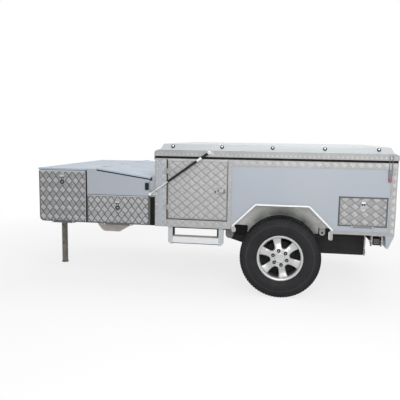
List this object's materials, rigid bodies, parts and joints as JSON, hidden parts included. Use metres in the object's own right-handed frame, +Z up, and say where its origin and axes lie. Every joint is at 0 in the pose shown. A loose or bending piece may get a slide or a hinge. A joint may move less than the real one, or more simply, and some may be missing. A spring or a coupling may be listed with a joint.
{
  "type": "off-road camper trailer",
  "caption": "Tread-plate camper trailer: hollow body with a forward-folding lid on gas struts, front boxes, drop hatches, trailing-arm axle, jack and stabiliser legs.",
  "frame": {"origin": "on the ground, under the middle of the trailer's overall length and width", "axes": "+X to the rear, +Y to the trailer's right, +Z up"},
  "size_m": [3.876, 1.9, 1.4553],
  "materials": {
    "paint": "semi-gloss pale blue-grey enamel",
    "tread_plate": "five-bar aluminium tread plate, dulled by weather",
    "pale_skin": "smooth off-white moulded skin",
    "galvanised": "hot-dip galvanised steel with a mottled spangle",
    "black_steel": "black chassis enamel",
    "black_plastic": "black moulded polyethylene",
    "rubber": "black extruded rubber",
    "tyre": "dark tyre rubber",
    "alloy": "silver lacquered cast alloy",
    "tube_steel": "brown-grey weathered steel tube",
    "ply": "sealed plywood",
    "bright_steel": "bright plated steel",
    "lens_red": "red moulded lens"
  },
  "bodies": {
    "chassis": {"chassis_rails": "galvanised", "cross_members": "galvanised", "drawbar_arms": "galvanised", "coupling": "black_steel", "jack_sleeve": "tube_steel", "floor": "ply", "front_wall": "tread_plate", "rear_wall": "tread_plate", "side_frames": "tread_plate", "side_panels": "paint", "side_doors": "tread_plate", "wheel_arches": "galvanised", "seals": "rubber", "front_box": "paint", "locker_box": "paint", "gap_posts": "black_plastic", "front_tank": "pale_skin", "step_posts": "paint", "step_treads": "paint", "arm_hangers": "galvanised", "trailing_arms": "black_steel", "coil_springs": "black_steel", "shock_absorbers": "galvanised", "water_tank": "black_plastic", "tank_straps": "galvanised", "tie_down_lugs": "galvanised", "rear_valance": "paint", "tail_lamps": "lens_red", "leg_brackets": "galvanised", "toggle_catches": "bright_steel", "strut_brackets": "galvanised", "side_vents": "black_plastic"},
    "lid": {"lid_frame": "tread_plate", "lid_pan": "pale_skin", "lid_board": "ply", "lid_studs": "rubber", "lid_fittings": "galvanised"},
    "strut_barrel_left": {"strut_barrel_left": "black_steel"},
    "strut_barrel_right": {"strut_barrel_right": "black_steel"},
    "strut_rod_left": {"strut_rod_left": "bright_steel"},
    "strut_rod_right": {"strut_rod_right": "bright_steel"},
    "front_door_left": {"front_door_left": "tread_plate"},
    "front_door_right": {"front_door_right": "tread_plate"},
    "locker_door_left": {"locker_door_left": "tread_plate"},
    "locker_door_right": {"locker_door_right": "tread_plate"},
    "locker_lid": {"locker_lid": "paint"},
    "hatch_left": {"hatch_left": "tread_plate"},
    "hatch_right": {"hatch_right": "tread_plate"},
    "wheel_left": {"tyre_left": "tyre", "rim_left": "alloy", "hub_left": "black_steel"},
    "wheel_right": {"tyre_right": "tyre", "rim_right": "alloy", "hub_right": "black_steel"},
    "jack_leg": {"jack_leg": "tube_steel"},
    "leg_left": {"leg_left": "galvanised"},
    "leg_right": {"leg_right": "galvanised"}
  },
  "joints": [
    {"name": "wheel_left_spin", "type": "hinge", "parent": "chassis", "child": "wheel_left", "pos_m": [0.908, -0.7675, 0.388], "axis": [0, 1, 0], "continuous": true},
    {"name": "wheel_right_spin", "type": "hinge", "parent": "chassis", "child": "wheel_right", "pos_m": [0.908, 0.7675, 0.388], "axis": [0, 1, 0], "continuous": true},
    {"name": "lid_fold", "type": "hinge", "parent": "chassis", "child": "lid", "pos_m": [-0.338, 0, 1.3343], "axis": [0, -1, 0], "range_deg": [0, 180]},
    {"name": "strut_left_swing", "type": "hinge", "parent": "lid", "child": "strut_barrel_left", "pos_m": [0.22, -0.938, 1.3793], "axis": [0, 1, 0], "range_deg": [-0.01, 66.01]},
    {"name": "strut_left_stroke", "type": "slide", "parent": "strut_barrel_left", "child": "strut_rod_left", "axis": [0.8118, 0, 0.5839], "range_m": [-0.0001, 0.06765]},
    {"name": "strut_right_swing", "type": "hinge", "parent": "lid", "child": "strut_barrel_right", "pos_m": [0.22, 0.938, 1.3793], "axis": [0, 1, 0], "range_deg": [-0.01, 66.01]},
    {"name": "strut_right_stroke", "type": "slide", "parent": "strut_barrel_right", "child": "strut_rod_right", "axis": [0.8118, 0, 0.5839], "range_m": [-0.0001, 0.06765]},
    {"name": "front_door_left_drop", "type": "hinge", "parent": "chassis", "child": "front_door_left", "pos_m": [-1.2625, -0.902, 0.653], "axis": [1, 0, 0], "range_deg": [0, 90]},
    {"name": "locker_door_left_drop", "type": "hinge", "parent": "chassis", "child": "locker_door_left", "pos_m": [-0.6875, -0.902, 0.653], "axis": [1, 0, 0], "range_deg": [0, 90]},
    {"name": "hatch_left_drop", "type": "hinge", "parent": "chassis", "child": "hatch_left", "pos_m": [1.6395, -0.902, 0.729], "axis": [1, 0, 0], "range_deg": [0, 90]},
    {"name": "front_door_right_drop", "type": "hinge", "parent": "chassis", "child": "front_door_right", "pos_m": [-1.2625, 0.902, 0.653], "axis": [-1, 0, 0], "range_deg": [0, 90]},
    {"name": "locker_door_right_drop", "type": "hinge", "parent": "chassis", "child": "locker_door_right", "pos_m": [-0.6875, 0.902, 0.653], "axis": [-1, 0, 0], "range_deg": [0, 90]},
    {"name": "hatch_right_drop", "type": "hinge", "parent": "chassis", "child": "hatch_right", "pos_m": [1.6395, 0.902, 0.729], "axis": [-1, 0, 0], "range_deg": [0, 90]},
    {"name": "locker_lid_lift", "type": "hinge", "parent": "chassis", "child": "locker_lid", "pos_m": [-0.903, 0, 1.203], "axis": [0, 1, 0], "range_deg": [-85, 0]},
    {"name": "jack_wind", "type": "slide", "parent": "chassis", "child": "jack_leg", "axis": [0, 0, 1], "range_m": [0, 0.35]},
    {"name": "leg_left_drop", "type": "hinge", "parent": "chassis", "child": "leg_left", "pos_m": [1.78, -0.83, 0.59], "axis": [-1, 0, 0], "range_deg": [0, 90]},
    {"name": "leg_right_drop", "type": "hinge", "parent": "chassis", "child": "leg_right", "pos_m": [1.78, 0.83, 0.59], "axis": [1, 0, 0], "range_deg": [0, 90]}
  ],
  "couplings": [
    {"joint": "strut_left_swing", "follows": "lid_fold", "ratio": 0.36668},
    {"joint": "strut_left_stroke", "follows": "lid_fold", "m_per_rad": 0.021501},
    {"joint": "strut_right_swing", "follows": "lid_fold", "ratio": 0.36668},
    {"joint": "strut_right_stroke", "follows": "lid_fold", "m_per_rad": 0.021501}
  ]
}
